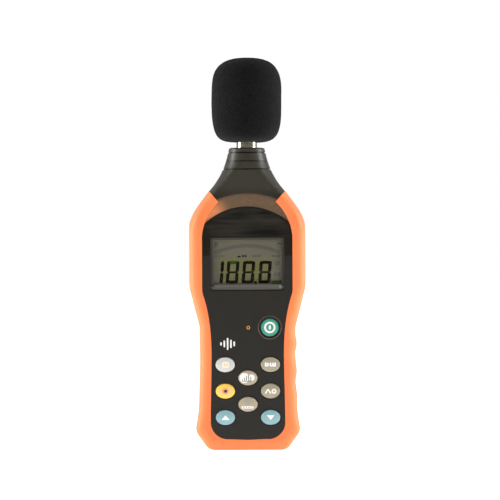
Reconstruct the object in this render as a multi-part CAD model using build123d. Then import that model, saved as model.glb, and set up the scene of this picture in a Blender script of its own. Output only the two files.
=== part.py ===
from build123d import *
import os

# Hand-held sound level meter with a half-inch microphone under a foam windscreen.
# Frame: +Z up along the meter, which stands on its flat sole at Z = 0. The front faces -Y.
# The two case halves part on the plane Y = 0, and the microphone's axis is X = Y = 0.
# Everything is in millimetres.

# ---- driving dimensions: the hand-held case ----
HEIGHT = 230.0             # sole to the top of the neck
SKIN = 1.8                 # rubber grip moulded over the case
WALL = 2.0                 # hard case wall under the grip
PANEL_DROP = 0.4           # the dark case sits this far below the grip's surface
CAVITY = SKIN + WALL       # depth of the inside face below the outer surface
FRONT = 18.0               # parting plane to the front of the grip
REAR = 22.0                # parting plane to the back of the grip
PANEL_Y = -FRONT + PANEL_DROP
BACK_Y = REAR - PANEL_DROP
INNER_FRONT_Y = -FRONT + CAVITY
INNER_BACK_Y = REAR - CAVITY

# Front view of one side, from the sole up: distance from the middle, height and rounding of
# each corner. The grip's right side has finger hollows, and its left side is plain.
FOOT = [((29.6, 0.0), 8.0), ((40.0, 14.3), 9.0), ((37.3, 31.0), 60.0)]
PLAIN_WAIST = [((36.2, 66.0), 150.0)]
FINGER_WAIST = [
    ((37.5, 41.0), 14.0),
    ((36.2, 51.5), 12.0),
    ((37.3, 59.5), 12.0),
    ((35.9, 73.0), 14.0),
    ((37.4, 80.5), 12.0),
    ((36.1, 88.5), 14.0),
]
CHEST = [((36.5, 93.8), 16.0), ((44.1, 123.6), 18.0)]
EDGE_ROUND = 7.4           # rounding of the case's front and back edges

# The shoulders and the neck are turned about the Z axis: radius and height.
SHOULDER_LOW = (48.0, 140.0)
SHOULDER_HIGH = (44.1, 176.6)
SHOULDER_ROUNDS = (60.0, 40.0)
NECK_BASE = (28.6, 197.6)
NECK_MID = (18.3, 214.0)
NECK_TOP_R = 14.1
NECK_TOP_ROUND = 1.6
LEAN_Z = 190.0             # from here up the front leans back, as far as the neck's collar
COLLAR_Z = 219.4
COLLAR_FRONT_Y = -16.0
CREASE_ROUND = 3.5         # where the flat faces run into the turned neck

# ---- the dark front face that the grip frames ----
PANEL_BOTTOM = 9.0
PANEL_FOOT_HALF = 28.5
PANEL_WAIST_HALF = 27.4
PANEL_WAIST_Z = 70.0
PANEL_CHEST_HALF = 34.3
HORN_X = 21.6              # the grip's upper ends point inwards to here
HORN_Z = 188.3
HORN_SLOPE = 1.15          # rise of the horn's top edge for each millimetre outwards

# ---- neck and display hood ----
GROOVE_HEIGHTS = (213.3, 219.4, 225.9)
GROOVE_WIDTH = 0.85
GROOVE_DEPTH = 0.8
RECESS_HALF = 28.2
RECESS_BOTTOM = 121.0
RECESS_TOP = 166.0
RECESS_CORNER = 3.0
RECESS_DEPTH = 1.8         # at the display window
HOOD_START_Z = 147.5       # from here up the face slopes back under the brow
HOOD_SLOPE = 0.133         # millimetres back for each millimetre up
HOOD_DEPTH = 5.0
BROW_CENTRE_Z = 138.5      # the brow is part of a circle about this height
BROW_INNER_R = 46.5
BROW_OUTER_R = 57.5
WINDOW_Y = PANEL_Y + RECESS_DEPTH + 0.2
WINDOW_THICK = 1.5
WINDOW_HALF = 27.6
WINDOW_BOTTOM = 121.8
WINDOW_TOP = 161.0
WINDOW_CORNER = 2.4
VIEW_HALF = 26.4
VIEW_BOTTOM = 125.6
VIEW_TOP = 159.6
LCD_THICK = 2.2
LCD_HALF = 27.2
LCD_BOTTOM, LCD_TOP = 123.4, 161.4

# ---- keys ----
KEY_COLUMN = 17.1
KEY_SIZE = (15.1, 11.8)
KEY_PROUD = 1.9            # above the dark panel
KEY_GAP = 0.3
FLANGE = 1.0               # rim behind the panel that keeps a key in
FLANGE_THICK = 0.8
KEY_TRAVEL = 1.0
KEYS = {                   # place across and up the panel
    "hold_key": (-KEY_COLUMN, 65.0),
    "max_min_key": (KEY_COLUMN, 65.0),
    "level_key": (0.0, 55.0),
    "backlight_key": (-KEY_COLUMN, 45.0),
    "weighting_key": (KEY_COLUMN, 45.0),
    "response_key": (0.0, 35.0),
    "up_key": (-KEY_COLUMN, 25.0),
    "down_key": (KEY_COLUMN, 25.0),
}
POWER_X, POWER_Z = 16.8, 93.1
POWER_R = 6.7
BEZEL_R = 9.15
LED_X, LED_Z, LED_R = 0.5, 93.0, 1.55

# ---- circuit board and what it carries ----
BOARD_FRONT_Y = -9.4
BOARD_THICK = 1.6
BOARD_BACK_Y = BOARD_FRONT_Y + BOARD_THICK
BOARD_SEAT_Y = BOARD_BACK_Y + 0.02
LCD_BACK_Y = BOARD_FRONT_Y - 0.7
LCD_FRONT_Y = LCD_BACK_Y - LCD_THICK
BOARD_SCREWS = [(27.5, 35.0), (27.5, 84.0), (33.5, 140.0)]
CASE_SCREWS = [(21.0, 15.0), (28.0, 169.0)]
CAN_HALF, CAN_LOW, CAN_HIGH = 10.0, 166.0, 192.0
CAN_HEIGHT, CAN_SHEET = 4.2, 0.4
CAPACITORS_X, CAPACITOR_Z = (-22.0, -14.0, 14.0), 110.0
PREAMP_LOW = 193.2
MAT_THICK = 0.8
DOME_R = 5.0
DOME_TOP_Y = INNER_FRONT_Y + 0.2 + FLANGE_THICK + KEY_TRAVEL + 0.1

# ---- microphone and windscreen ----
SLEEVE_R = 7.85
SLEEVE_BOTTOM, SLEEVE_TOP = 208.0, 246.0
CAPSULE_R = 6.6
GRID_TOP = 259.0
FOAM_BOTTOM, FOAM_TOP = 233.6, 298.6
FOAM_R = 27.1
FOAM_WIDEST_Z = 271.0

# ---- battery compartment ----
CELL_R, CELL_LENGTH = 5.2, 44.5
CELL_PITCH = 11.0
CELL_Y = 13.4
BAY_HALF, BAY_BOTTOM, BAY_TOP = 23.0, 36.0, 92.0
BAY_FLOOR_Y = 8.0
BAY_WALL = 1.5
DOOR_HALF, DOOR_BOTTOM, DOOR_TOP = 24.6, 30.0, 103.0
DOOR_THICK = 2.0
DOOR_GAP = 0.25
DOOR_SCREW_Z = 98.0
SCREW_R = 1.5
SCREW_GAP = 0.05

# ---- tripod thread and output socket ----
TRIPOD_Z = 150.0
TRIPOD_R = 3.175           # 1/4-20 UNC
TRIPOD_DEPTH = 8.0
JACK_Y, JACK_Z = -5.0, 150.0
JACK_R = 1.8               # takes a 3.5 mm plug
SOCKET_CLEAR_R = 4.6
SOCKET_NOSE_R = 3.0


# ---- small helpers ----
def along_y(x, z, y0, y1, radius):
    """Round bar along Y from y0 to y1."""
    return Pos(x, (y0 + y1) / 2, z) * Rot(90, 0, 0) * Cylinder(radius, abs(y1 - y0))


def along_z(x, y, z0, z1, radius):
    """Round bar along Z from z0 to z1."""
    return Pos(x, y, (z0 + z1) / 2) * Cylinder(radius, z1 - z0)


def block(x0, x1, y0, y1, z0, z1):
    """Box between two corners."""
    return Pos((x0 + x1) / 2, (y0 + y1) / 2, (z0 + z1) / 2) * Box(x1 - x0, y1 - y0, z1 - z0)


def plate(sketch, y0, y1):
    """Sketch drawn as (X, Z), given a thickness from y0 to y1."""
    drawn = Plane(origin=(0, y1, 0), x_dir=(1, 0, 0), z_dir=(0, -1, 0)) * sketch
    return extrude(drawn, amount=y1 - y0)


def both_sides(places):
    """The given (X, Z) places and their mirror images."""
    return [(side * x, z) for side in (-1, 1) for x, z in places]


# ---- the case ----
def side_outline():
    """Front view of the case's sides, carried up past the shoulders."""
    right = FOOT + FINGER_WAIST + CHEST
    left = FOOT + PLAIN_WAIST + CHEST
    past = HEIGHT + 20
    places = [place for place, _ in right] + [(CHEST[-1][0][0], past), (-CHEST[-1][0][0], past)]
    places += [(-x, z) for (x, z), _ in reversed(left)]
    rounds = [radius for _, radius in right] + [0, 0] + [radius for _, radius in reversed(left)]
    with BuildSketch() as sketch:
        with BuildLine():
            FilletPolyline(*places, radius=rounds, close=True)
        make_face()
    return sketch.sketch


def turned_shape(inset):
    """Shoulders and flaring neck, turned about the Z axis."""
    with BuildSketch(Plane.XZ) as sketch:
        with BuildLine():
            side = FilletPolyline(
                (SHOULDER_LOW[0] - inset, -20), (SHOULDER_LOW[0] - inset, SHOULDER_LOW[1]),
                (SHOULDER_HIGH[0] - inset, SHOULDER_HIGH[1]),
                (NECK_BASE[0] - inset, NECK_BASE[1]), radius=SHOULDER_ROUNDS)
            flare = ThreePointArc(side @ 1, (NECK_MID[0] - inset, NECK_MID[1]),
                                  (NECK_TOP_R - inset, HEIGHT))
            Polyline(flare @ 1, (NECK_TOP_R - inset, HEIGHT + 20), (0, HEIGHT + 20), (0, -20),
                     side @ 0)
        make_face()
    return revolve(sketch.sketch, Axis.Z)


def front_bound(inset):
    """Everything behind the front face, which is upright at the panel and leans back above."""
    far = 60.0
    ahead = 1.0
    start_z = LEAN_Z - ahead * (COLLAR_Z - LEAN_Z) / (FRONT + COLLAR_FRONT_Y)
    with BuildSketch(Plane.YZ) as sketch:
        with BuildLine():
            Polyline((far, -20), (-FRONT - ahead + inset, -20), (-FRONT - ahead + inset, start_z),
                     (COLLAR_FRONT_Y + inset, COLLAR_Z), (COLLAR_FRONT_Y + inset, HEIGHT + 20),
                     (far, HEIGHT + 20), close=True)
        make_face()
    return extrude(sketch.sketch, amount=far, both=True)


def soften_creases(body):
    """Rounds the edges where the flat faces and the sides run into the turned shoulders and neck."""
    chest_z = CHEST[-1][0][1] + 5
    creases = []
    for edge in body.edges():
        box = edge.bounding_box()
        curved = edge.geom_type != GeomType.LINE and edge.length > 5
        if curved and box.min.Z > chest_z and box.max.Z < HEIGHT - 5 and abs(edge.center().Y) > 8:
            creases.append(edge)
    return fillet(creases, CREASE_ROUND)


def envelope(inset):
    """Outer shape of the meter, drawn in by inset on every side."""
    face = side_outline()
    if inset > 0:
        face = offset(face, -inset)
    slab = plate(face, -FRONT + inset, REAR - inset)
    front = slab.edges().filter_by_position(Axis.Y, -FRONT + inset - 0.01, -FRONT + inset + 0.01)
    back = slab.edges().filter_by_position(Axis.Y, REAR - inset - 0.01, REAR - inset + 0.01)
    slab = fillet(front + back, EDGE_ROUND - 0.8 * inset)
    body = soften_creases(slab & turned_shape(inset) & front_bound(inset))
    return body & block(-60, 60, -60, 60, -20, HEIGHT - inset)


def dark_outline():
    """Front view of what the grip leaves bare: the panel between the horns, and the neck."""
    far = 60.0
    with BuildSketch() as sketch:
        with BuildLine():
            start = Line((0, PANEL_BOTTOM - 0.9), (14, PANEL_BOTTOM - 0.4))
            corner = RadiusArc(start @ 1, (PANEL_FOOT_HALF - 0.3, PANEL_BOTTOM + 11), -13)
            waist = Spline(
                corner @ 1, (PANEL_WAIST_HALF, PANEL_WAIST_Z), (28.6, 95.0), (33.6, 118.0),
                tangents=((0, 1), (0.35, 1)))
            chest = Spline(waist @ 1, (PANEL_CHEST_HALF, 126.0), (PANEL_CHEST_HALF, 162.0),
                           tangents=((0.35, 1), (0, 1)))
            horn = ThreePointArc(chest @ 1, (30.3, 176.6), (HORN_X, HORN_Z))
            rise = Line(horn @ 1, (far, HORN_Z + (far - HORN_X) * HORN_SLOPE))
            Polyline(rise @ 1, (far, HEIGHT + 10), (0, HEIGHT + 10), (0, PANEL_BOTTOM - 0.9))
        make_face()
        mirror(about=Plane.YZ)
    return sketch.sketch


def rounded_plate(x_half, z0, z1, corner, y0, y1):
    """Plate with rounded corners, between two heights."""
    face = Pos(0, (z0 + z1) / 2) * RectangleRounded(2 * x_half, z1 - z0, corner)
    return plate(face, y0, y1)


def recess_space(grow):
    """Hollow in front of the display and under the brow, or its outside when grown by a wall."""
    well = rounded_plate(RECESS_HALF + grow, RECESS_BOTTOM - grow, RECESS_TOP, RECESS_CORNER,
                         -FRONT - 5, PANEL_Y + RECESS_DEPTH + grow)
    top = BROW_CENTRE_Z + BROW_INNER_R + grow + 1
    top_y = PANEL_Y + grow + HOOD_SLOPE * (top - HOOD_START_Z)
    with BuildSketch(Plane.YZ) as side:
        with BuildLine():
            Polyline((-FRONT - 5, HOOD_START_Z), (PANEL_Y + grow, HOOD_START_Z), (top_y, top),
                     (-FRONT - 5, top), close=True)
        make_face()
    slope = extrude(side.sketch, amount=PANEL_CHEST_HALF, both=True)
    return well + (slope & along_y(0, BROW_CENTRE_Z, -FRONT - 6, 0, BROW_INNER_R + grow))


def brow_bevel(shift):
    """Space in front of the brow's sloping underside, part of a cone, moved back by a shift."""
    deep_y = PANEL_Y + HOOD_DEPTH - 0.4
    slope = (BROW_OUTER_R - BROW_INNER_R) / (deep_y + FRONT)
    reach = 3.0
    outer = BROW_OUTER_R + slope * reach
    length = deep_y + FRONT + reach
    cone = Pos(0, deep_y + shift - length / 2, BROW_CENTRE_Z) * Rot(90, 0, 0) * Cone(
        BROW_INNER_R, outer, length)
    band = block(-PANEL_CHEST_HALF, PANEL_CHEST_HALF, -FRONT - 5, 0, RECESS_TOP, HEIGHT)
    return (cone & band) - along_y(0, BROW_CENTRE_Z, -FRONT - 6, 1, BROW_INNER_R - 0.5)


def groove(z):
    """Cut round the neck, across its flat front as well."""
    ring = along_z(0, 0, z - GROOVE_WIDTH / 2, z + GROOVE_WIDTH / 2, 30)
    bottom = GROOVE_DEPTH + PANEL_DROP
    return ring - (turned_shape(bottom) & front_bound(bottom))


def front_half():
    """Space in front of the parting plane."""
    return block(-60, 60, -60, 0, -10, HEIGHT + 10)


def rear_half():
    """Space behind the parting plane."""
    return block(-60, 60, 0, 60, -10, HEIGHT + 10)


def grip(half):
    """Rubber moulded over one case half."""
    body = (OUTER - UNDER_GRIP - DARK) & half
    return body - socket_hole(SOCKET_CLEAR_R)


def socket_hole(radius):
    """Hole through the left wall for the output socket."""
    return Pos(-43, JACK_Y, JACK_Z) * Rot(0, 90, 0) * Cylinder(radius, 10)


def case_shell(half):
    """Hard shell of one case half, before its details."""
    return ((UNDER_GRIP + (PANEL_SHAPE & DARK)) - CAVITY_SHAPE) & half


def key_opening(x, z):
    """Oval hole through the panel for one key."""
    size_x, size_z = KEY_SIZE
    hole = Ellipse(size_x / 2 + KEY_GAP, size_z / 2 + KEY_GAP)
    return plate(Pos(x, z) * hole, -FRONT - 1, INNER_FRONT_Y + 1)


def front_case():
    """Front shell: neck, brow, display recess and keypad panel."""
    body = case_shell(front_half())
    body += (recess_space(WALL) + brow_bevel(WALL)) & UNDER_GRIP & front_half()
    for x, z in both_sides(CASE_SCREWS):
        body += along_y(x, z, INNER_FRONT_Y - 0.5, 0, 3.3)
        body -= along_y(x, z, INNER_FRONT_Y + 2, 1, SCREW_R + SCREW_GAP)
    body -= recess_space(0) & DARK
    body -= brow_bevel(0) & DARK
    body -= rounded_plate(WINDOW_HALF + 0.1, WINDOW_BOTTOM - 0.1, WINDOW_TOP + 0.1,
                          WINDOW_CORNER + 0.1, -FRONT, WINDOW_Y + WINDOW_THICK + 0.02)
    body -= block(-VIEW_HALF, VIEW_HALF, -FRONT, -5, VIEW_BOTTOM, VIEW_TOP)
    for x, z in both_sides(BOARD_SCREWS):
        body += along_y(x, z, INNER_FRONT_Y - 0.5, BOARD_FRONT_Y, 2.5)
        body -= along_y(x, z, INNER_FRONT_Y + 0.6, BOARD_FRONT_Y + 1, 1.25)
    for x, z in KEYS.values():
        body -= key_opening(x, z)
    body -= along_y(POWER_X, POWER_Z, -FRONT, INNER_FRONT_Y + 1, BEZEL_R - 1.0)
    body -= along_y(POWER_X, POWER_Z, -FRONT, PANEL_Y + 1.2, BEZEL_R)
    body -= along_y(LED_X, LED_Z, -FRONT, INNER_FRONT_Y + 1, LED_R + 0.1)
    body -= socket_hole(SOCKET_NOSE_R + 0.1)
    return finish_neck(body)


def finish_neck(body):
    """Grooves round the neck, a rounded top, and the bore that holds the microphone sleeve."""
    for z in GROOVE_HEIGHTS:
        body -= groove(z)
    top = along_z(0, 0, HEIGHT - 3, HEIGHT + 3, 30)
    rounded = along_z(0, 0, HEIGHT - 6, HEIGHT - PANEL_DROP, NECK_TOP_R - PANEL_DROP + 0.1)
    edge = rounded.edges().filter_by_position(Axis.Z, HEIGHT - PANEL_DROP - 0.01, HEIGHT)
    body -= top - fillet(edge, NECK_TOP_ROUND)
    return body - along_z(0, 0, SLEEVE_BOTTOM - 12, HEIGHT + 5, SLEEVE_R + SCREW_GAP)


def bay_box(grow):
    """Space of the battery bay, or its outside when grown by a wall."""
    return block(-BAY_HALF - grow, BAY_HALF + grow, BAY_FLOOR_Y - grow, INNER_BACK_Y + 0.5,
                 BAY_BOTTOM - grow, BAY_TOP + grow)


def door_outline(gap):
    """Back view of the battery door, grown by a gap."""
    centre = (DOOR_BOTTOM + DOOR_TOP) / 2
    size = (2 * (DOOR_HALF + gap), DOOR_TOP - DOOR_BOTTOM + 2 * gap)
    return Pos(0, centre) * RectangleRounded(*size, 4 + gap)


def rear_case():
    """Rear shell: battery bay, tripod boss and screw bosses."""
    body = case_shell(rear_half())
    body += bay_box(BAY_WALL)
    body -= block(-BAY_HALF, BAY_HALF, BAY_FLOOR_Y, REAR, BAY_BOTTOM, BAY_TOP)
    for x in (-1.5 * CELL_PITCH, 1.5 * CELL_PITCH):
        body -= block(x - 1.8, x + 1.8, 0, BAY_FLOOR_Y + 1, BAY_BOTTOM, BAY_BOTTOM + 1.2)
    body += along_y(0, DOOR_SCREW_Z, BAY_FLOOR_Y, INNER_BACK_Y + 0.5, 5.6)
    body -= plate(door_outline(DOOR_GAP), BACK_Y - DOOR_THICK - 0.05, REAR + 1)
    body -= along_y(0, DOOR_SCREW_Z, 17.3, REAR, 4.6)
    body -= along_y(0, DOOR_SCREW_Z, 10.8, REAR, 2.5)
    for x, z in both_sides(CASE_SCREWS):
        body += along_y(x, z, 0, INNER_BACK_Y + 0.5, 4.6)
        body -= along_y(x, z, -1, REAR, SCREW_R + 0.2)
        body -= along_y(x, z, 14, REAR + 1, 3.3)
    body += along_y(0, TRIPOD_Z, INNER_BACK_Y - 8, INNER_BACK_Y + 0.5, 7.0)
    body -= along_y(0, TRIPOD_Z, BACK_Y - 0.3 - TRIPOD_DEPTH, REAR + 1, 4.75)
    body -= socket_hole(SOCKET_NOSE_R + 0.1)
    return finish_neck(body)


# ---- display ----
def lcd_window():
    """Clear plate let into the floor of the recess."""
    return rounded_plate(WINDOW_HALF, WINDOW_BOTTOM, WINDOW_TOP, WINDOW_CORNER,
                         WINDOW_Y, WINDOW_Y + WINDOW_THICK)


def lcd_glass():
    """Two glass sheets, the rear one longer at the bottom for its contacts."""
    half_thick = LCD_THICK / 2
    front = block(-LCD_HALF, LCD_HALF, LCD_FRONT_Y, LCD_BACK_Y - half_thick, LCD_BOTTOM + 2, LCD_TOP)
    rear = block(-LCD_HALF, LCD_HALF, LCD_BACK_Y - half_thick, LCD_BACK_Y, LCD_BOTTOM, LCD_TOP)
    return front + rear


def lcd_frame():
    """Plastic frame that holds the display against the board."""
    outer = block(-LCD_HALF - 1.6, LCD_HALF + 1.6, LCD_FRONT_Y, BOARD_FRONT_Y - 0.02,
                  LCD_BOTTOM - 3.8, LCD_TOP + 1.6)
    hollow = block(-LCD_HALF - 0.05, LCD_HALF + 0.05, -FRONT, 0, LCD_BOTTOM - 2.4, LCD_TOP + 0.05)
    return outer - hollow


def backlight_panel():
    """Light guide behind the glass."""
    return block(-LCD_HALF, LCD_HALF, LCD_BACK_Y + 0.02, BOARD_FRONT_Y - 0.02, LCD_BOTTOM, LCD_TOP)


def zebra_strip():
    """Rubber connector between the glass and the board."""
    return block(-LCD_HALF + 2, LCD_HALF - 2, LCD_FRONT_Y + 0.3, BOARD_FRONT_Y - 0.02,
                 LCD_BOTTOM - 2.2, LCD_BOTTOM - 0.1)


# ---- keypad ----
def key_cap(x, z):
    """Oval key with a crowned edge, and a rim behind the panel."""
    size_x, size_z = KEY_SIZE
    front_y = PANEL_Y - KEY_PROUD
    rim_y = INNER_FRONT_Y + 0.2
    cap = plate(Pos(x, z) * Ellipse(size_x / 2, size_z / 2), front_y, rim_y + 0.01)
    edge = cap.edges().filter_by_position(Axis.Y, front_y - 0.01, front_y + 0.01)
    cap = fillet(edge, 1.1)
    rim = plate(Pos(x, z) * Ellipse(size_x / 2 + FLANGE, size_z / 2 + FLANGE),
                rim_y, rim_y + FLANGE_THICK)
    return cap + rim


def power_button():
    """Round button in its own ring."""
    front_y = PANEL_Y - 0.9
    rim_y = INNER_FRONT_Y + 0.2
    cap = along_y(POWER_X, POWER_Z, front_y, rim_y + 0.01, POWER_R)
    edge = cap.edges().filter_by_position(Axis.Y, front_y - 0.01, front_y + 0.01)
    cap = fillet(edge, 0.8)
    return cap + along_y(POWER_X, POWER_Z, rim_y, rim_y + FLANGE_THICK, POWER_R + 1.9)


def power_ring():
    """Bevelled ring let into the panel round the power button."""
    seat = along_y(POWER_X, POWER_Z, PANEL_Y - 0.6, PANEL_Y + 1.18, BEZEL_R - 0.03)
    edge = seat.edges().filter_by_position(Axis.Y, PANEL_Y - 0.61, PANEL_Y - 0.59)
    ring = fillet(edge, 0.55)
    trough = along_y(POWER_X, POWER_Z, PANEL_Y - 1, PANEL_Y + 0.6, 7.95)
    return ring - trough - along_y(POWER_X, POWER_Z, PANEL_Y - 1, PANEL_Y + 2, POWER_R + KEY_GAP)


def button_places():
    """Places of the eight keys and the power button."""
    return list(KEYS.values()) + [(POWER_X, POWER_Z)]


def keypad_mat():
    """Silicone sheet on the board with a hollow dome under each button."""
    mat_y = BOARD_FRONT_Y - 0.02 - MAT_THICK
    mat = block(-24.5, 24.5, mat_y, BOARD_FRONT_Y - 0.02, 17.5, 73.0)
    mat += block(8.0, 24.5, mat_y, BOARD_FRONT_Y - 0.02, 73.0, 102.0)
    for x, z in button_places():
        mat += along_y(x, z, DOME_TOP_Y, mat_y, DOME_R)
        mat -= along_y(x, z, DOME_TOP_Y + 0.6, BOARD_FRONT_Y, DOME_R - 0.9)
    for x, z in both_sides(CASE_SCREWS):
        mat -= along_y(x, z, -FRONT, 0, 3.6)
    return mat


def carbon_pills():
    """Conducting discs inside the domes, one for each button."""
    return [along_y(x, z, DOME_TOP_Y + 0.61, DOME_TOP_Y + 1.0, 2.5) for x, z in button_places()]


def indicator_led():
    """Round light behind the panel, standing on the board."""
    lens = along_y(LED_X, LED_Z, PANEL_Y - 0.3, BOARD_FRONT_Y - 1.2, LED_R)
    edge = lens.edges().filter_by_position(Axis.Y, PANEL_Y - 0.31, PANEL_Y - 0.29)
    lens = fillet(edge, 0.5)
    return lens + along_y(LED_X, LED_Z, BOARD_FRONT_Y - 1.2, BOARD_FRONT_Y - 0.02, LED_R + 0.3)


# ---- circuit board ----
def main_board():
    """Printed board: wide behind the display, narrow up into the neck."""
    with BuildSketch() as sketch:
        with BuildLine():
            Polyline(
                (-30, 22), (30, 22), (30, 97), (36.5, 121), (36.5, 162), (21, 162),
                (12, 178), (12, 196), (-12, 196), (-12, 178), (-21, 162), (-36.5, 162),
                (-36.5, 121), (-30, 97), close=True)
        make_face()
    board = plate(sketch.sketch, BOARD_FRONT_Y, BOARD_BACK_Y)
    for x, z in both_sides(BOARD_SCREWS):
        board -= along_y(x, z, -FRONT, 0, 1.35)
    return board


def chip(x, z, size_x, size_z, height):
    """Package on the back of the board, with a row of leads down two sides."""
    seat = BOARD_SEAT_Y
    body = block(x - size_x / 2, x + size_x / 2, seat + 0.15, seat + height,
                 z - size_z / 2, z + size_z / 2)
    leads = 6
    for index in range(leads):
        lead_z = z + (index - (leads - 1) / 2) * (size_z - 2) / (leads - 1)
        body += block(x - size_x / 2 - 1.1, x + size_x / 2 + 1.1, seat, seat + 0.5,
                      lead_z - 0.3, lead_z + 0.3)
    return body


def shield_can():
    """Tinned cover over the microphone amplifier."""
    half, low, high = CAN_HALF, CAN_LOW, CAN_HIGH
    cover = block(-half, half, BOARD_SEAT_Y, BOARD_SEAT_Y + CAN_HEIGHT, low, high)
    half -= CAN_SHEET
    return cover - block(-half, half, BOARD_SEAT_Y - 1, BOARD_SEAT_Y + CAN_HEIGHT - CAN_SHEET,
                         low + CAN_SHEET, high - CAN_SHEET)


def capacitors():
    """Three upright electrolytic capacitors."""
    return [along_y(x, CAPACITOR_Z, BOARD_SEAT_Y, BOARD_SEAT_Y + 7.5, 2.5) for x in CAPACITORS_X]


def quartz_crystal():
    """Flat oval can beside the processor."""
    return plate(Pos(14, 128) * SlotOverall(10.5, 4.2), BOARD_SEAT_Y, BOARD_SEAT_Y + 3.4)


def mic_header():
    """Plug and socket from the main board to the microphone amplifier."""
    return block(-6, 6, BOARD_SEAT_Y, -0.55, PREAMP_LOW, PREAMP_LOW + 2.6)


# ---- microphone ----
def mic_sleeve():
    """Polished metal tube that carries the microphone."""
    tube = along_z(0, 0, SLEEVE_BOTTOM, SLEEVE_TOP, SLEEVE_R)
    edge = tube.edges().filter_by_position(Axis.Z, SLEEVE_TOP - 0.01, SLEEVE_TOP + 0.01)
    tube = chamfer(edge, 1.2)
    return tube - along_z(0, 0, SLEEVE_BOTTOM - 1, SLEEVE_TOP + 1, CAPSULE_R + 0.05)


def mic_preamp_board():
    """Narrow board inside the sleeve."""
    return block(-5, 5, -0.5, 0.5, PREAMP_LOW, 238)


def mic_insulator():
    """Ring that holds the backplate clear of the sleeve."""
    ring = along_z(0, 0, 240, 249, CAPSULE_R)
    return ring - along_z(0, 0, 239, 250, 4.0)


def mic_backplate():
    """Fixed electrode, drilled to let air through."""
    disc = along_z(0, 0, 249.02, 250.6, 5.2)
    for index in range(6):
        place = Rot(0, 0, 60 * index) * Pos(3.2, 0, 0)
        disc -= place * along_z(0, 0, 248, 252, 0.5)
    return disc


def mic_diaphragm():
    """Thin metal membrane on its own ring."""
    ring = along_z(0, 0, 249.02, 252.0, CAPSULE_R - 0.6) - along_z(0, 0, 248, 253, 5.4)
    return ring + along_z(0, 0, 251.9, 252.1, CAPSULE_R - 0.6)


def mic_grid():
    """Slotted cap over the microphone."""
    cap = along_z(0, 0, 249.02, GRID_TOP, CAPSULE_R)
    edge = cap.edges().filter_by_position(Axis.Z, GRID_TOP - 0.01, GRID_TOP + 0.01)
    cap = fillet(edge, 0.8) - along_z(0, 0, 249, GRID_TOP - 0.8, CAPSULE_R - 0.55)
    for offset in (-3.6, -1.8, 0.0, 1.8, 3.6):
        half = 4.6 - abs(offset) * 0.5
        cap -= block(-half, half, offset - 0.35, offset + 0.35, GRID_TOP - 2, GRID_TOP + 1)
    return cap


def windscreen():
    """Foam ball over the microphone, with a bore that grips the sleeve."""
    with BuildSketch(Plane.XZ) as sketch:
        with BuildLine():
            under = Line((0, FOAM_BOTTOM), (14.0, FOAM_BOTTOM))
            corner = RadiusArc(under @ 1, (25.6, 244.5), -13.0)
            side = Spline(corner @ 1, (26.7, 257.0), (FOAM_R, FOAM_WIDEST_Z),
                          tangents=(corner % 1, (0, 1)))
            crown = Spline(side @ 1, (25.0, 286.5), (18.0, 295.0), (0, FOAM_TOP),
                           tangents=((0, 1), (-1, 0)))
            Line(crown @ 1, (0, FOAM_BOTTOM))
        make_face()
    ball = revolve(sketch.sketch, Axis.Z)
    return ball - along_z(0, 0, FOAM_BOTTOM - 1, GRID_TOP + 3, SLEEVE_R + 0.2)


# ---- battery bay ----
def cell_places():
    """X of each cell, and whether its button end points up."""
    return [((index - 1.5) * CELL_PITCH, index % 2 == 0) for index in range(4)]


def battery_cells():
    """Four AAA cells side by side, turned head to tail."""
    cells = []
    for x, up in cell_places():
        low = (BAY_BOTTOM + BAY_TOP - CELL_LENGTH) / 2 + (2.6 if up else -2.6)
        high = low + CELL_LENGTH
        if up:
            can = along_z(x, CELL_Y, low, high - 1.2, CELL_R)
            tip = along_z(x, CELL_Y, high - 1.2, high, 1.9)
        else:
            can = along_z(x, CELL_Y, low + 1.2, high, CELL_R)
            tip = along_z(x, CELL_Y, low, low + 1.2, 1.9)
        cells.append(can + tip)
    return cells


def battery_springs():
    """Coil springs at the flat end of each cell."""
    springs = []
    for x, up in cell_places():
        low = BAY_BOTTOM + 0.85 if up else BAY_TOP - 0.85 - 6.6
        path = Helix(pitch=1.65, height=6.6, radius=3.1, center=(x, CELL_Y, low))
        wire = Plane(origin=path @ 0, z_dir=path % 0) * Circle(0.3)
        springs.append(sweep(wire, path=path))
    return springs


def battery_contacts():
    """Plated strips at both ends of the bay, two of them led through to the board."""
    strips = []
    for x, up in cell_places():
        for z in (BAY_BOTTOM + 0.05, BAY_TOP - 0.45):
            strips.append(block(x - 4.4, x + 4.4, BAY_FLOOR_Y + 1, INNER_BACK_Y, z, z + 0.4))
    lead_z = BAY_BOTTOM + 0.05
    for x in (-1.5 * CELL_PITCH, 1.5 * CELL_PITCH):
        strips.append(block(x - 1.5, x + 1.5, BOARD_SEAT_Y, BAY_FLOOR_Y + 0.98,
                            lead_z, lead_z + 0.4))
    return strips


def battery_door():
    """Lid held by one captive screw, with ribs across its outside."""
    lid = plate(door_outline(0), BACK_Y - DOOR_THICK, BACK_Y)
    lid += along_y(0, DOOR_SCREW_Z, BACK_Y - DOOR_THICK - 2.2, BACK_Y - DOOR_THICK + 0.5, 4.3)
    lid -= along_y(0, DOOR_SCREW_Z, BACK_Y - 2.0, BACK_Y + 1, 3.2)
    lid -= along_y(0, DOOR_SCREW_Z, 0, BACK_Y + 1, SCREW_R + 0.2)
    for index in range(5):
        z = DOOR_BOTTOM + 7 + 3 * index
        lid -= Pos(0, BACK_Y + 0.2, z) * Rot(0, 90, 0) * Cylinder(0.8, 26)
    return lid


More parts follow.
